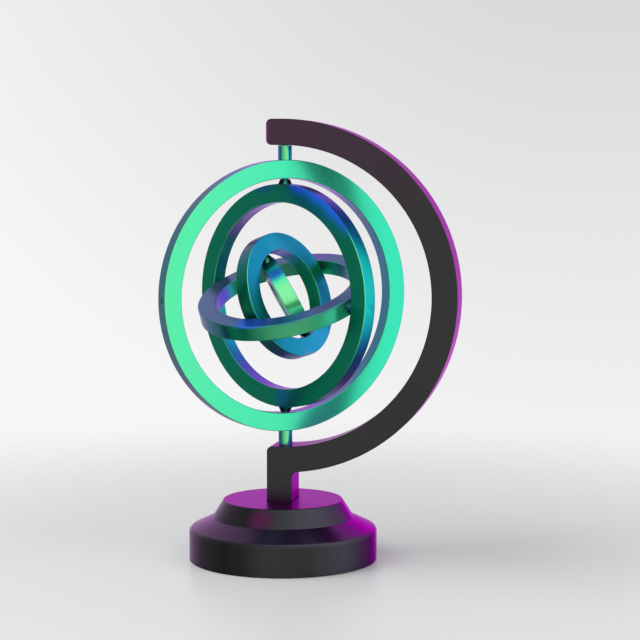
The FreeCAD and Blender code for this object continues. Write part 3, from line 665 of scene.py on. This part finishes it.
def hardware_finish(name, tones, patch, gloss, grit, depth=0.0, metallic=1.0):
    """A plain finish of two tones in patches, with a grit.

    gloss is the least and the most roughness, and patch, grit and depth are millimetres."""
    material, tree = blank_finish(name)
    here = add(tree, "ShaderNodeTexCoord").outputs["Object"]
    patches = add(tree, "ShaderNodeTexNoise", {"Vector": here, "Scale": 1 / (patch * MM)})
    grains = add(tree, "ShaderNodeTexNoise",
                 {"Vector": here, "Scale": 1 / (grit * MM), "Detail": 4.0})
    colour = add(tree, "ShaderNodeMix",
                 {"Factor": patches, "A": linear(tones[0]), "B": linear(tones[1])},
                 data_type="RGBA")
    rough = add(tree, "ShaderNodeMapRange",
                {**NOISE_SPAN, "Value": grains, "To Min": gloss[0], "To Max": gloss[1]})
    relief = add(tree, "ShaderNodeBump", {"Height": grains, "Distance": depth * MM})
    shader = add(tree, "ShaderNodeBsdfPrincipled",
                 {"Base Color": colour, "Roughness": rough, "Metallic": metallic,
                  "Normal": relief})
    add(tree, "ShaderNodeOutputMaterial", {"Surface": shader})
    return material


brass = hardware_finish("turned_brass", ("#C9A24E", "#DDBE72"), 1.5, (0.26, 0.36), 0.6)
zinc = hardware_finish("zinc_plated_steel", ("#AEB4BC", "#C8C6BC"), 2.0, (0.30, 0.42), 0.8)
black_plate = hardware_finish("blackened_sheet_steel", ("#2C2D30", "#3C3C40"), 8.0,
                              (0.45, 0.6), 0.5, depth=0.01)
cast_iron = hardware_finish("cast_iron", ("#4A4744", "#5E5A56"), 3.0, (0.6, 0.7), 0.9,
                            depth=0.12)
rubber = hardware_finish("moulded_rubber", ("#1B1B1C", "#262627"), 5.0, (0.72, 0.85), 0.5,
                         depth=0.05, metallic=0.0)
print("hardware:", [finish.name for finish in (brass, zinc, black_plate, cast_iron, rubber)])

# %% [markdown]
# ## Which piece wears what
# Every CAD node gets its finish by its name. Bushes are brass, collars are dark, and screws,
# bolts, washers and the ball are zinc plated. A plug closes a ring's bore and wears that
# ring's own finish. What is left are spindles, pins and side plugs, in coated steel.

# %% Dress the CAD pieces
FINISHES = {"base_shell": stand_lacquer, "stand_arm": stand_lacquer, "arm_cap": stand_lacquer,
            "ballast_ring": cast_iron, "base_plate": black_plate, "foot_pad": rubber}
worn = {}
for name, node in nodes.items():
    finish = FINISHES.get(name, pivot_coat)
    if "bush" in name:
        finish = brass
    elif "collar" in name:
        finish = collar_coat
    elif name.startswith(("plate_screw", "post_", "thrust")):
        finish = zinc
    elif name.startswith("ring_") and "plug" in name:
        finish = ring_materials[int(name[5])]
    node.data.materials.clear()
    node.data.materials.append(finish)
    worn.setdefault(finish.name, []).append(name)
for finish_name, wearers in worn.items():
    print(f"{finish_name}: {len(wearers)} CAD nodes")

# %% [markdown]
# ## The studio
# A pale floor, a pale backdrop and three big soft lamps. The floor fades into the backdrop,
# as a curved sheet of paper does, so no horizon shows. It lies a hair below the foot pad, so
# that the two surfaces do not fight.

# %% Floor
FLOOR_RADIUS, FLOOR_SIDES = 2.0, 96
FLOOR_DROP = 0.05 * MM
FADE_START, FADE_END = 0.16, 0.7
floor_material, tree = blank_finish("pale_floor")
here = add(tree, "ShaderNodeTexCoord").outputs["Object"]
matt = add(tree, "ShaderNodeBsdfPrincipled",
           {"Base Color": linear("#ECECEC"), "Roughness": 0.3, "Specular IOR Level": 0.08})
reach = add(tree, "ShaderNodeVectorMath", {0: here}, operation="LENGTH")
fade = add(tree, "ShaderNodeMapRange",
           {"Value": reach, "From Min": FADE_START, "From Max": FADE_END},
           interpolation_type="SMOOTHSTEP")
mixed = add(tree, "ShaderNodeMixShader",
            {0: fade, 1: matt, 2: add(tree, "ShaderNodeBsdfTransparent")})
add(tree, "ShaderNodeOutputMaterial", {"Surface": mixed})
bpy.ops.mesh.primitive_circle_add(vertices=FLOOR_SIDES, radius=FLOOR_RADIUS,
                                  fill_type="NGON", location=(0, 0, -FLOOR_DROP))
floor = bpy.context.object
floor.name = "floor"
floor.data.materials.append(floor_material)
print(f"floor: solid for {FADE_START} m round the stand, gone at {FADE_END} m")

# %% [markdown]
# The room is the world itself. The camera and every reflection see a pale backdrop, which is
# a shade darker behind the stand and above it. All other rays meet a dim, even light, so the
# shade under the base stays soft but does not fill up.

# %% Room
DARK_WAY = (-0.05, 0.98, 0.25)
DARK_FROM, DARK_FULL = 0.45, 0.17
ROOM_LIGHT = 0.28
world = bpy.data.worlds.new("studio")
bpy.context.scene.world = world
world.use_nodes = True
tree = world.node_tree
tree.nodes.clear()
heading = add(tree, "ShaderNodeTexCoord").outputs["Generated"]
away = add(tree, "ShaderNodeVectorMath", {0: heading, 1: DARK_WAY}, operation="DISTANCE")
shaded = add(tree, "ShaderNodeMapRange",
             {"Value": away, "From Min": DARK_FROM, "From Max": DARK_FULL})
tone = add(tree, "ShaderNodeMix",
           {"Factor": shaded, "A": linear("#F7F7F7"), "B": linear("#DADADB")},
           data_type="RGBA")
backdrop = add(tree, "ShaderNodeBackground", {"Color": tone})
light = add(tree, "ShaderNodeBackground",
            {"Color": linear("#F4F5F7"), "Strength": ROOM_LIGHT})
rays = add(tree, "ShaderNodeLightPath").outputs
direct = add(tree, "ShaderNodeMath", {0: rays["Is Camera Ray"], 1: rays["Is Glossy Ray"]})
seen = add(tree, "ShaderNodeMath", {0: direct, 1: rays["Is Transmission Ray"]})
room = add(tree, "ShaderNodeMixShader", {0: seen, 1: light, 2: backdrop})
add(tree, "ShaderNodeOutputWorld", {"Surface": room})
print("room nodes:", len(tree.nodes))

# %% [markdown]
# A strong lamp stands high on the left, and two weak ones fill the shade from the right and
# from the front. They light the floor and the matt share of each finish. Reflections do not
# see them, so they draw no hard patches on the rings.

# %% Lamps


def lamp(name, size, power, spot):
    """A square soft lamp in metres and watts, turned to the foot of the stand."""
    data = bpy.data.lights.new(name, "AREA")
    data.shape = "SQUARE"
    data.size = size
    data.energy = power
    holder = bpy.data.objects.new(name, data)
    holder.location = spot
    holder.rotation_euler = (-Vector(spot)).to_track_quat("-Z", "Y").to_euler()
    holder.visible_glossy = False
    bpy.context.scene.collection.objects.link(holder)
    print(f"{name}: {size} m wide, {power} W")


lamp("key_left", 2.0, 33.0, (-1.2, -0.6, 1.8))
lamp("fill_right", 1.2, 6.0, (1.3, -0.5, 1.2))
lamp("fill_front", 1.2, 9.0, (0.5, -1.7, 0.6))

bpy.context.scene.view_settings.view_transform = "Standard"
